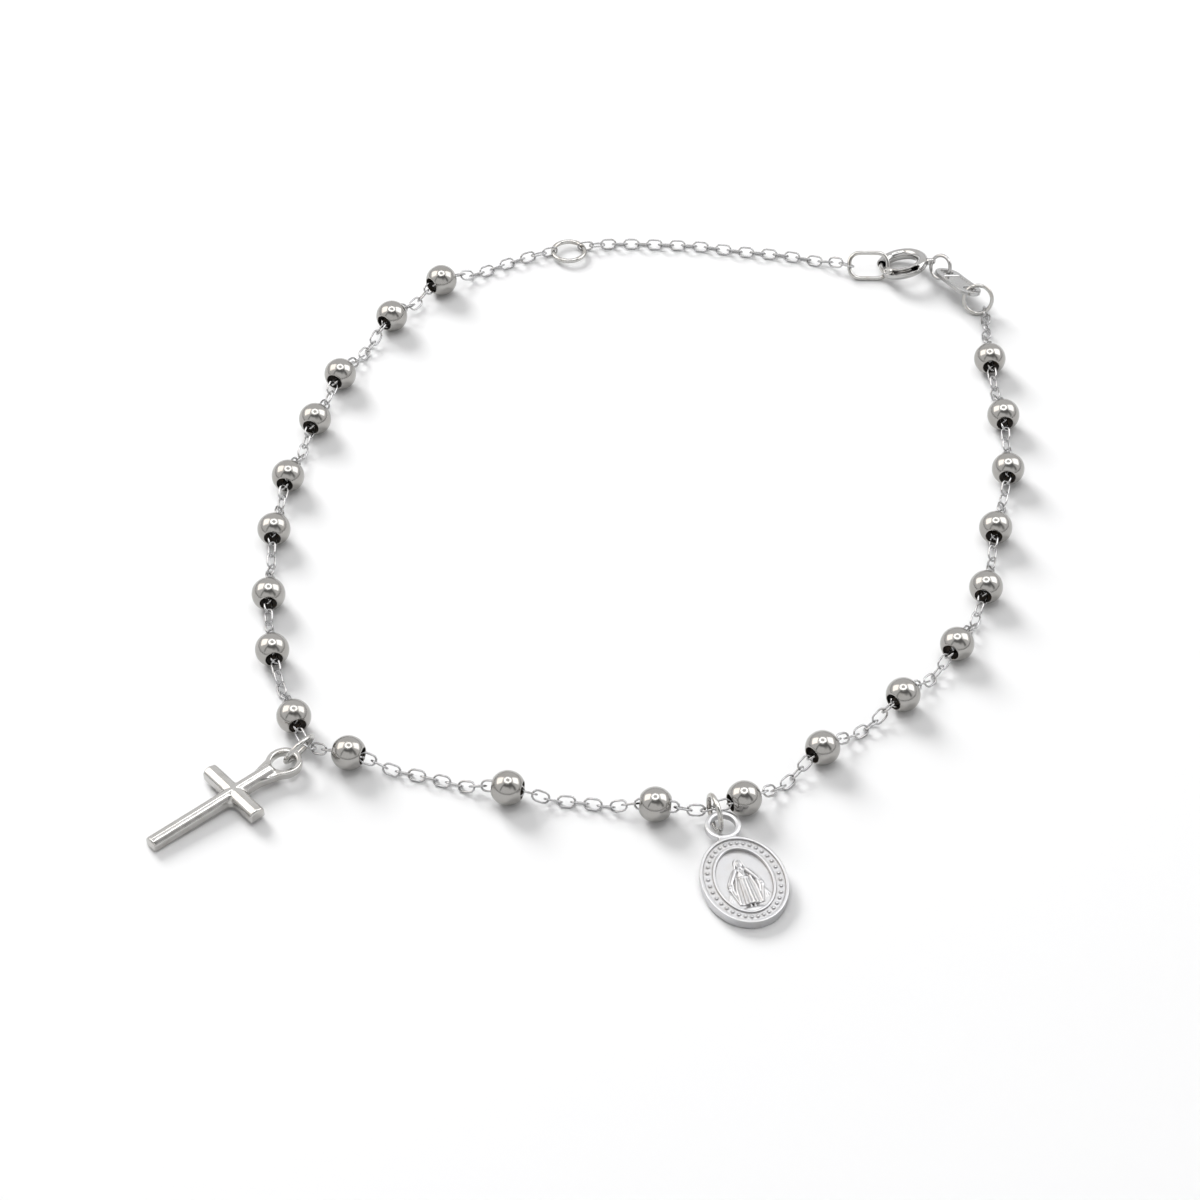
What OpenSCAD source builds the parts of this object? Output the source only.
// Rosary bracelet, lying on a flat surface. Millimetres, +Z up, origin under the middle of the loop.

/* [Beads] */
// Outer diameter of a hollow bead
bead_d = 3; // [2.9:0.05:3.1]
// Wall thickness of a bead
bead_wall = 0.22; // [0.18:0.01:0.28]
// Diameter of the hole through a bead
bead_hole = 1.5; // [1.45:0.01:1.6]

/* [Chain] */
// Wire thickness of a chain link
link_wire = 0.17; // [0.15:0.01:0.18]
// Outer length of a link
link_len = 1.66; // [1.64:0.01:1.7]
// Outer width of a link
link_w = 1.04; // [1.02:0.01:1.06]
// Distance from one link to the next, before it is fitted to the route
link_pitch = 1.15; // [1.14:0.01:1.17]

/* [Spring ring] */
// Outer diameter of the clasp
clasp_d = 5.2; // [5.15:0.01:5.25]
// Outer diameter of the clasp's tube
tube_d = 1.13; // [1.1:0.01:1.15]
// Bore of the clasp's tube
tube_bore = 0.68; // [0.64:0.01:0.7]
// Thickness of the sliding bolt
bolt_d = 0.5; // [0.44:0.01:0.52]
// How far the bolt turns to open the clasp, in degrees
bolt_travel = 60; // [40:1:62]

/* [Rings] */
// Outer diameter of the round adjusting ring
adjust_d = 3.6; // [3.5:0.05:3.7]
// Wire thickness of the adjusting ring
adjust_wire = 0.46; // [0.4:0.01:0.48]
// Outer length of the oval end ring
end_ring_len = 4.2; // [4.1:0.05:4.3]
// Outer width of the oval end ring
end_ring_w = 2.95; // [2.9:0.05:3]
// Wire thickness of the end ring
end_ring_wire = 0.42; // [0.36:0.01:0.42]
// Outer diameter of the jump ring at the tag
tag_ring_d = 3.1; // [3.05:0.05:3.15]
// Wire thickness of the jump ring at the tag
tag_ring_wire = 0.38; // [0.34:0.01:0.38]
// Outer diameter of the jump rings that carry the cross and the medal
charm_ring_d = 3.5; // [3.4:0.05:3.55]
// Wire thickness of those two jump rings
charm_ring_wire = 0.42; // [0.38:0.01:0.42]

/* [Tag plate] */
// Width of the tag plate
tag_w = 2.6; // [2.5:0.05:2.7]
// Thickness of the tag plate
tag_t = 0.42; // [0.36:0.01:0.45]

/* [Cross] */
// Distance from the eye's centre to the foot of the cross
cross_len = 13.8; // [13.6:0.1:14]
// Span from arm end to arm end
cross_span = 6.8; // [6.5:0.1:7]
// Width of the upright bar
upright_w = 1.1; // [1:0.05:1.2]
// Width of the arms
arm_w = 1.3; // [1.2:0.05:1.4]
// Height of the bar's flat sides
cross_side = 0.9; // [0.85:0.01:0.95]
// Height of the ridge on the front
cross_ridge = 1.12; // [1.08:0.01:1.16]

/* [Medal] */
// Length of the oval plate
medal_len = 9.15; // [9:0.05:9.3]
// Width of the oval plate
medal_w = 7.15; // [7.1:0.05:7.25]
// Thickness of the medal at its rim
medal_t = 0.88; // [0.85:0.01:0.92]

/* [Hidden] */
$fn = 32;
EPS = 0.01;

// Height of the chain's middle where it runs through a bead, and half the height of a link on edge
bead_lift = 1.36;
half_w = (link_w - link_wire) / 2;

// Names of the columns in the two route tables: place, height that the chain is held at, and twist
X = 0;
Y = 1;
HOLD = 2;
TWIST = 3;
BEAD = 4;

// Clasp, tag and rings where they lie: centres, how each one leans, and angles from a ring's lowest point
clasp_at = [28.9, 40.8, 1.2];
clasp_turn = [-10, -11, 0];
clasp_r = (clasp_d - tube_d) / 2;
neck_angle = -8;
neck_len = 0.42;
eye_turn = [0, 61.3, 224];
eye_r = 1.12;
eye_wire = 0.36;
eye_neck = -94;
eye_tag = 75;
tag_ring_at = [35.9, 34.9, 1.4];
tag_ring_turn = [0, 60, 266];
tag_ring_r = (tag_ring_d - tag_ring_wire) / 2;
tag_ring_tag = -132;
tag_ring_link = 35;
end_ring_at = [25.63, 40.75, 1.03];
end_ring_lean = 40;
adjust_at = [-3.9, 43.7, 0.53];
adjust_exit = 30;
adjust_r = (adjust_d - adjust_wire) / 2;

neck_tip = clasp_at + rotated([cos(neck_angle), sin(neck_angle), 0] * (clasp_d / 2 + neck_len), clasp_turn);
eye_at = 2 * neck_tip - ring_point(neck_tip, eye_turn, eye_r, eye_neck);
tag_from = ring_point(eye_at, eye_turn, eye_r, eye_tag);
tag_to = ring_point(tag_ring_at, tag_ring_turn, tag_ring_r, tag_ring_tag);

// A link is hooked on a ring with the ring's wire this far from the link's middle
hook = 0.32;
BEAD_Z = bead_lift;
ROUTE_START = ring_point(tag_ring_at, tag_ring_turn, tag_ring_r, tag_ring_link);

// x, y, height held, twist, 1 where a bead sits
ROUTE = [
    [ROUTE_START[0], ROUTE_START[1], ROUTE_START[2], -18, 0],
    [36.3, 25.7, BEAD_Z, 0, 1],
    [36.9, 17.4, BEAD_Z, 0, 1],
    [36.7, 9.7, BEAD_Z, 0, 1],
    [34.9, 1.6, BEAD_Z, 0, 1],
    [33.4, -6.3, BEAD_Z, 0, 1],
    [30.3, -13.6, BEAD_Z, 0, 1],
    [25.2, -19.9, BEAD_Z, 0, 1],
    [18, -26.3, BEAD_Z, 0, 1],
    [13.6, -30.6, 0, 0, 0],
    [11.2, -32.2, BEAD_Z, 0, 1],
    [8.3, -32.9, 0.8, -15, 0],
    [3.8, -32.9, BEAD_Z, 0, 1],
    [-2.4, -31.7, 0, 0, 0],
    [-8.5, -31, BEAD_Z, 0, 1],
    [-15.2, -28.8, 0, 0, 0],
    [-22, -26.9, BEAD_Z, 0, 1],
    [-25.5, -25.4, 0.84, -15, 0],
    [-26.9, -22.5, BEAD_Z, 0, 1],
    [-29.3, -14.3, BEAD_Z, 0, 1],
    [-30.1, -7.2, BEAD_Z, 0, 1],
    [-30.2, 1.4, BEAD_Z, 0, 1],
    [-29.4, 8.7, BEAD_Z, 0, 1],
    [-27.4, 16.8, BEAD_Z, 0, 1],
    [-25.4, 23.4, BEAD_Z, 0, 1],
    [-20.9, 32.2, BEAD_Z, 0, 1],
    [-16.3, 37.8, BEAD_Z, 0, 1],
    [-11.2, 41.1, 0, 0, 0],
    [-8, 42.8, 0, 0, 0],
    [adjust_at[0] - adjust_r, adjust_at[1], adjust_at[2], 45, 0]
];
MEDAL_ROW = 11;
CROSS_ROW = 17;

// The same for the extension: its first link stands on edge to hook the flat ring, turned to the side given
function extension_rows(side) = [
    [adjust_at[0] + adjust_r * cos(adjust_exit), adjust_at[1] + adjust_r * sin(adjust_exit), adjust_at[2],
        45 * side, 0],
    [1, 45, 0, 0, 0],
    [5, 44.9, 0, 0, 0],
    [9, 44.6, 0, 0, 0],
    [13, 43.8, 0, 0, 0],
    [17, 43.2, 0, 0, 0],
    [20.7, 42.2, 0, 0, 0],
    [end_ring_at[0] - (end_ring_len - end_ring_wire) / 2, end_ring_at[1], end_ring_at[2], 19, 0]
];

bead_rows = [for (i = [0 : len(ROUTE) - 1]) if (ROUTE[i][BEAD] == 1) i];

// A point on a ring of radius r: angle 0 is its lowest point
function ring_point(at, turn, r, angle) =
    let (a = turn[1], c = turn[2], u = cos(angle) * r, v = sin(angle) * r)
    [at[0] + u * cos(a) * cos(c) - v * sin(c), at[1] + u * cos(a) * sin(c) + v * cos(c), at[2] - u * sin(a)];

// A vector turned as rotate() turns a shape
function rotated(v, turn) =
    let (
        a = [v[0], v[1] * cos(turn[0]) - v[2] * sin(turn[0]), v[1] * sin(turn[0]) + v[2] * cos(turn[0])],
        b = [a[0] * cos(turn[1]) + a[2] * sin(turn[1]), a[1], a[2] * cos(turn[1]) - a[0] * sin(turn[1])]
    )
    [b[0] * cos(turn[2]) - b[1] * sin(turn[2]), b[0] * sin(turn[2]) + b[1] * cos(turn[2]), b[2]];

function smooth(t) = let (u = min(1, max(0, t))) u * u * (3 - 2 * u);

// A smooth curve through the rows of a table: the row before and after the ends is mirrored
function row_xy(table, i) =
    i < 0 ? 2 * plan(table[0]) - plan(table[1])
    : i >= len(table) ? 2 * plan(table[len(table) - 1]) - plan(table[len(table) - 2])
    : plan(table[i]);
function plan(row) = [row[X], row[Y]];
function curve(a, b, c, d, t) =
    0.5 * (2 * b + (c - a) * t + (2 * a - 5 * b + 4 * c - d) * t * t + (3 * b - a - 3 * c + d) * t * t * t);
steps = 12;
function plan_points(table) = [
    for (i = [0 : len(table) - 2])
        for (j = [0 : (i == len(table) - 2 ? steps : steps - 1)])
            curve(row_xy(table, i - 1), row_xy(table, i), row_xy(table, i + 1), row_xy(table, i + 2), j / steps)
];

// Distance run along a list of points, one value for each point
function run_of(points) = [
    for (i = 0, s = 0; i < len(points); s = s + (i + 1 < len(points) ? norm(points[i + 1] - points[i]) : 0), i = i + 1)
        s
];

// How much of a row's height is left at a distance from it: the chain lies straight in a bead, then sinks
flat_run = 1.2;
sink_run = 3;
function left_at(row, d) = 1 - smooth((d - (row[BEAD] == 1 ? flat_run : 0.6)) / sink_run);

// Height of the chain's middle on the surface, for a link that stands the more on edge the more it is twisted
CHAIN_CLEAR = 0.035;
function rest_z(twist) = link_wire / 2 + half_w * sin(45 + abs(twist)) + CHAIN_CLEAR;
function twist_at(table, runs, s) =
    lookup(s, [for (i = [0 : len(table) - 1]) [runs[i * steps], table[i][TWIST]]]);
function product(list, i = 0) = i == len(list) ? 1 : list[i] * product(list, i + 1);
function height_at(table, runs, s, twist) =
    let (
        rest = rest_z(twist),
        top = BEAD_Z - rest,
        sunk = [for (i = [0 : len(table) - 1])
            1 - max(0, table[i][HOLD] - rest) / top * left_at(table[i], abs(s - runs[i * steps]))]
    )
    rest + top * (1 - product(sunk));

// Full route: points with their run in space, and the twist at each
function lay(table) =
    let (
        flat = plan_points(table),
        runs = run_of(flat),
        twists = [for (s = runs) twist_at(table, runs, s)],
        high = [for (i = [0 : len(flat) - 1])
            [flat[i][0], flat[i][1], height_at(table, runs, runs[i], twists[i])]],
        far = run_of(high)
    )
    [
        [for (i = [0 : len(high) - 1]) [far[i], high[i][0]]],
        [for (i = [0 : len(high) - 1]) [far[i], high[i][1]]],
        [for (i = [0 : len(high) - 1]) [far[i], high[i][2]]],
        [for (i = [0 : len(high) - 1]) [far[i], twists[i]]]
    ];
function on(route, s) = [lookup(s, route[0]), lookup(s, route[1]), lookup(s, route[2])];
function length_of(route) = route[0][len(route[0]) - 1][0];
function run_at_row(route, row) = route[0][row * steps][0];

// Links fitted to a route: anchors pair a link's number with its run, and the links between are spread evenly
function whole_count(length) = round(length / link_pitch);
function even_count(length) = 2 * round(length / link_pitch / 2);

// The roll of link k: neighbours stand a quarter turn apart
function base_roll(k, first) = k % 2 == 0 ? first : -first;

beaded = lay(ROUTE);
beaded_first = -45;

// The charms' jump rings and the adjusting ring go through odd links, which stand the way that suits them
medal_run = run_at_row(beaded, MEDAL_ROW);
cross_run = run_at_row(beaded, CROSS_ROW);
medal_link = even_count(medal_run - hook - link_pitch) + 1;
cross_link = medal_link + even_count(cross_run - medal_run);
last_link = cross_link + even_count(length_of(beaded) - hook - cross_run);
beaded_anchors = [
    [0, hook],
    [medal_link, medal_run],
    [cross_link, cross_run],
    [last_link, length_of(beaded) - hook]
];
middle_link = floor(last_link / 2);

last_extension = whole_count(length_of(lay(extension_rows(1))) - 2 * hook);
extension_side = last_extension % 2 == 0 ? -1 : 1;
extension = lay(extension_rows(extension_side));
extension_anchors = [[0, hook], [last_extension, length_of(extension) - hook]];
extension_first = 45 * extension_side;

// Charms: how their jump rings lean, where the chain's link sits on the ring, and how the charm lies
cross_ring_turn = [0, 65, 140];
cross_ring_link = -62;
cross_hole_at = [-27.42, -27.57, 0.57];
cross_yaw = -139.5;
cross_pitch = 2.34;
medal_ring_turn = [0, 90, 18];
medal_ring_link = 60;
medal_hole_at = [9.35, -34.9, 0.66];
medal_yaw = -75;
medal_pitch = 3.4;
charm_r = (charm_ring_d - charm_ring_wire) / 2;
// the ring sits a little off the middle of its link
cross_link_at = on(beaded, cross_run + 0.08);
medal_link_at = on(beaded, medal_run);
cross_ring_at = 2 * cross_link_at - ring_point(cross_link_at, cross_ring_turn, charm_r, cross_ring_link);
medal_ring_at = 2 * medal_link_at - ring_point(medal_link_at, medal_ring_turn, charm_r, medal_ring_link);

BEAD_NAMES = [for (i = [1 : len(bead_rows)]) str("bead_", i < 10 ? "0" : "", i)];

// Link

module half_bend(w, wire) {
    rotate([0, 0, -90])
        rotate_extrude(angle = 180)
            translate([(w - wire) / 2, 0])
                circle(d = wire);
}

module link_body() {
    straight = link_len - link_w;
    for (side = [0, 180]) {
        rotate([0, 0, side]) {
            translate([straight / 2, 0, 0])
                half_bend(link_w, link_wire);
            translate([0, half_w, 0])
                rotate([0, 90, 0])
                    cylinder(d = link_wire, h = straight, center = true);
        }
    }
}

module links(route, anchors, from, to, first) {
    for (k = [from : to]) {
        s = lookup(k, anchors);
        half = link_pitch / 2;
        along = on(route, s + half) - on(route, s - half);
        roll = base_roll(k, first) + lookup(s, route[3]);
        color("gainsboro")
            translate(on(route, s))
                rotate([roll, -atan2(along[2], norm([along[0], along[1]])), atan2(along[1], along[0])])
                    link_body();
    }
}

// Beads

module bead(n) {
    row = bead_rows[n - 1];
    s = run_at_row(beaded, row);
    along = on(beaded, s + 1) - on(beaded, s - 1);
    color("silver")
        translate([ROUTE[row][X], ROUTE[row][Y], bead_d / 2])
            rotate([0, 90, atan2(along[1], along[0])])
                difference() {
                    sphere(d = bead_d);
                    sphere(d = bead_d - 2 * bead_wall);
                    cylinder(d = bead_hole, h = bead_d + 1, center = true);
                }
}

// Rings

module wire_ring(d, wire) {
    rotate_extrude()
        translate([(d - wire) / 2, 0])
            circle(d = wire);
}

module adjusting_ring() {
    color("gainsboro")
        translate(adjust_at)
            wire_ring(adjust_d, adjust_wire);
}

module end_ring() {
    corner = 1.02;
    long = end_ring_len - end_ring_wire;
    wide = end_ring_w - end_ring_wire;
    color("gainsboro")
        translate(end_ring_at)
            rotate([end_ring_lean, 0, 0]) {
                for (sx = [0, 1], sy = [0, 1])
                    mirror([sx, 0, 0])
                        mirror([0, sy, 0])
                            translate([long / 2 - corner, wide / 2 - corner, 0])
                                rotate_extrude(angle = 90)
                                    translate([corner, 0])
                                        circle(d = end_ring_wire);
                for (side = [-1, 1]) {
                    translate([0, side * wide / 2, 0])
                        rotate([0, 90, 0])
                            cylinder(d = end_ring_wire, h = long - 2 * corner, center = true);
                    translate([side * long / 2, 0, 0])
                        rotate([90, 0, 0])
                            cylinder(d = end_ring_wire, h = wide - 2 * corner, center = true);
                }
            }
}

module tag_ring() {
    color("gainsboro")
        translate(tag_ring_at)
            rotate(tag_ring_turn)
                wire_ring(tag_ring_d, tag_ring_wire);
}

module cross_ring() {
    color("gainsboro")
        translate(cross_ring_at)
            rotate(cross_ring_turn)
                wire_ring(charm_ring_d, charm_ring_wire);
}

module medal_ring() {
    color("gainsboro")
        translate(medal_ring_at)
            rotate(medal_ring_turn)
                wire_ring(charm_ring_d, charm_ring_wire);
}

// Spring-ring clasp: angles run anticlockwise from the eye's side

gap_from = 165;
gap_to = 220;
trigger_angle = 240;
slot_play = 10;
slot_from = trigger_angle - slot_play;
slot_to = trigger_angle + bolt_travel + slot_play;
slot_w = 0.56;
slot_lift = 50;
bolt_grip = 5;
trigger_pin = 0.4;
trigger_knob = 0.72;

module on_clasp() {
    translate(clasp_at)
        rotate(clasp_turn)
            children();
}

module arc(r, from, to) {
    rotate([0, 0, from])
        rotate_extrude(angle = to - from)
            translate([r, 0])
                children();
}

// Something standing on the tube's slot line, pointing outwards and up
module at_slot(angle) {
    rotate([0, 0, angle])
        translate([clasp_r, 0, 0])
            rotate([0, 90 - slot_lift, 0])
                children();
}

module clasp_ring() {
    color("silver") {
        on_clasp()
            difference() {
                union() {
                    arc(clasp_r, gap_to, gap_from + 360)
                        circle(d = tube_d);
                    rotate([0, 0, neck_angle])
                        translate([clasp_r + tube_bore / 2 + 0.1, 0, 0])
                            rotate([0, 90, 0])
                                cylinder(d = 0.7, h = clasp_d / 2 + neck_len - clasp_r - tube_bore / 2 - 0.1);
                }
                arc(clasp_r, gap_to - 1, gap_from + 361)
                    circle(d = tube_bore);
                arc(clasp_r, slot_from, slot_to)
                    rotate(slot_lift)
                        translate([0.1, -slot_w / 2])
                            square([tube_d, slot_w]);
            }
        translate(eye_at)
            rotate(eye_turn)
                wire_ring(2 * eye_r + eye_wire, eye_wire);
    }
}

module clasp_bolt() {
    color("silver")
        on_clasp() {
            arc(clasp_r, gap_from - bolt_grip, trigger_angle + 6)
                circle(d = bolt_d);
            at_slot(trigger_angle) {
                cylinder(d = trigger_pin, h = tube_d / 2 + 0.25);
                translate([0, 0, tube_d / 2 + 0.06])
                    cylinder(d1 = trigger_knob, d2 = 0.5, h = 0.24);
            }
        }
}

// Tag plate

tag_hole_d = 1.25;
tag_roll = -18;

module stadium(long, wide) {
    square([long - wide, wide], center = true);
    for (side = [-1, 1])
        translate([side * (long - wide) / 2, 0])
            circle(d = wide);
}

module tag_plate() {
    sunk = 0.1;
    rim = 0.34;
    end_bar = 0.4;
    slack = 0.2;
    run = tag_to - tag_from;
    hole_gap = norm(run) + 2 * slack;
    tag_len = hole_gap + tag_hole_d + 2 * end_bar;
    color("gainsboro")
        translate((tag_from + tag_to) / 2)
            rotate([tag_roll, -atan2(run[2], norm([run[0], run[1]])), atan2(run[1], run[0])])
                translate([0, 0, -tag_t / 2])
                    difference() {
                        linear_extrude(tag_t)
                            stadium(tag_len, tag_w);
                        translate([0, 0, tag_t - sunk])
                            linear_extrude(tag_t)
                                square([hole_gap - tag_hole_d - rim, tag_w - 2 * rim], center = true);
                        for (side = [-1, 1])
                            translate([side * hole_gap / 2, 0, -EPS])
                                cylinder(d = tag_hole_d, h = tag_t + 2 * EPS);
                    }
}

// Cross: x runs from the eye's centre to the foot

cross_eye_d = 3.06;
cross_eye_hole = 2.2;
cross_eye_t = 0.72;
crossing = 5.25;
corner_r = 0.35;

module bar_section(w) {
    polygon([[-w / 2, 0], [w / 2, 0], [w / 2, cross_side], [0, cross_ridge], [-w / 2, cross_side]]);
}

module bar(from, to, w) {
    translate([from, 0, 0])
        rotate([90, 0, 90])
            linear_extrude(to - from)
                bar_section(w);
}

module cross() {
    color("gainsboro")
        translate(cross_hole_at)
            rotate([0, cross_pitch, cross_yaw])
                difference() {
                    union() {
                        cylinder(d = cross_eye_d, h = cross_eye_t);
                        bar(cross_eye_hole / 2 + 0.2, cross_len, upright_w);
                        translate([crossing, 0, 0])
                            rotate([0, 0, 90])
                                bar(-cross_span / 2, cross_span / 2, arm_w);
                        for (sx = [-1, 1], sy = [-1, 1])
                            translate([crossing + sx * (arm_w / 2), sy * (upright_w / 2), 0])
                                linear_extrude(cross_side - 0.05)
                                    difference() {
                                        translate([sx < 0 ? -corner_r : -EPS, sy < 0 ? -corner_r : -EPS])
                                            square(corner_r + EPS);
                                        translate([sx * corner_r, sy * corner_r])
                                            circle(r = corner_r);
                                    }
                    }
                    translate([0, 0, -1])
                        cylinder(d = cross_eye_hole, h = cross_ridge + 2);
                }
}

// Medal: x runs from the eye's centre to the bottom of the oval

medal_eye_d = 3;
medal_eye_hole = 2.1;
medal_eye_t = 0.6;
medal_mid = 6.2;
field_t = 0.5;
band_t = 0.66;
lip_w = 0.24;
border_len = 7;
border_wide = 5;
border_w = 0.2;

module oval(long, wide) {
    polygon([for (a = [0 : 5 : 355]) [long / 2 * cos(a), wide / 2 * sin(a)]]);
}

module oval_ring(long, wide, w) {
    difference() {
        oval(long, wide);
        oval(long - 2 * w, wide - 2 * w);
    }
}

// Standing robed figure with open arms, in simple relief: its x runs from head to foot
module figure() {
    base = field_t - 0.1;
    head_x = -2.3;
    translate([head_x, 0, base])
        sphere(d = 0.85);
    translate([0, 0, base])
        linear_extrude(0.32)
            polygon([[-1.65, -0.3], [-1.65, 0.3], [-1.2, 0.62], [0.4, 0.72], [2.1, 0.95], [2.1, -0.95],
                [0.4, -0.72], [-1.2, -0.62]]);
    translate([0, 0, base])
        linear_extrude(0.4)
            polygon([[-1.3, -0.22], [-1.3, 0.22], [2.2, 0.6], [2.2, -0.6]]);
    for (side = [-1, 1])
        translate([-1.05, side * 0.45, base + 0.1])
            rotate([0, 90, side * 48])
                cylinder(d = 0.3, h = 1.35);
    translate([2.2, 0, base])
        linear_extrude(0.26)
            intersection() {
                oval(border_len - 5.4, border_wide - 2.4);
                translate([0.3, 0])
                    square([1.2, 2.6], center = true);
            }
}

module medal() {
    dots = 36;
    color("gainsboro")
        translate(medal_hole_at)
            rotate([0, medal_pitch, medal_yaw])
                difference() {
                    union() {
                        cylinder(d = medal_eye_d, h = medal_eye_t);
                        translate([1.9, 0, medal_eye_t / 2])
                            cube([1.4, 1.5, medal_eye_t], center = true);
                        translate([medal_mid, 0, 0]) {
                            linear_extrude(field_t)
                                oval(medal_len, medal_w);
                            linear_extrude(medal_t)
                                oval_ring(medal_len, medal_w, lip_w);
                            linear_extrude(band_t)
                                oval_ring(medal_len - lip_w, medal_w - lip_w, (medal_w - border_wide) / 2 - lip_w / 2);
                            linear_extrude(medal_t - 0.02)
                                oval_ring(border_len, border_wide, border_w);
                            figure();
                            for (i = [0 : dots - 1])
                                let (a = i * 360 / dots)
                                translate([(medal_len - 1.3) / 2 * cos(a), (medal_w - 1.3) / 2 * sin(a), 0])
                                    cylinder(d = 0.22, h = medal_t - 0.04, $fn = 16);
                        }
                    }
                    translate([0, 0, -1])
                        cylinder(d = medal_eye_hole, h = 3);
                }
}

module chain_right() {
    links(beaded, beaded_anchors, 0, middle_link - 1, beaded_first);
}

module chain_left() {
    links(beaded, beaded_anchors, middle_link, last_link, beaded_first);
}

module extension_chain() {
    links(extension, extension_anchors, 0, last_extension, extension_first);
}

for (i = [1 : len(bead_rows)])
    bead(i);
chain_right();
chain_left();
extension_chain();
adjusting_ring();
end_ring();
clasp_ring();
clasp_bolt();
tag_plate();
tag_ring();
cross();
cross_ring();
medal();
medal_ring();
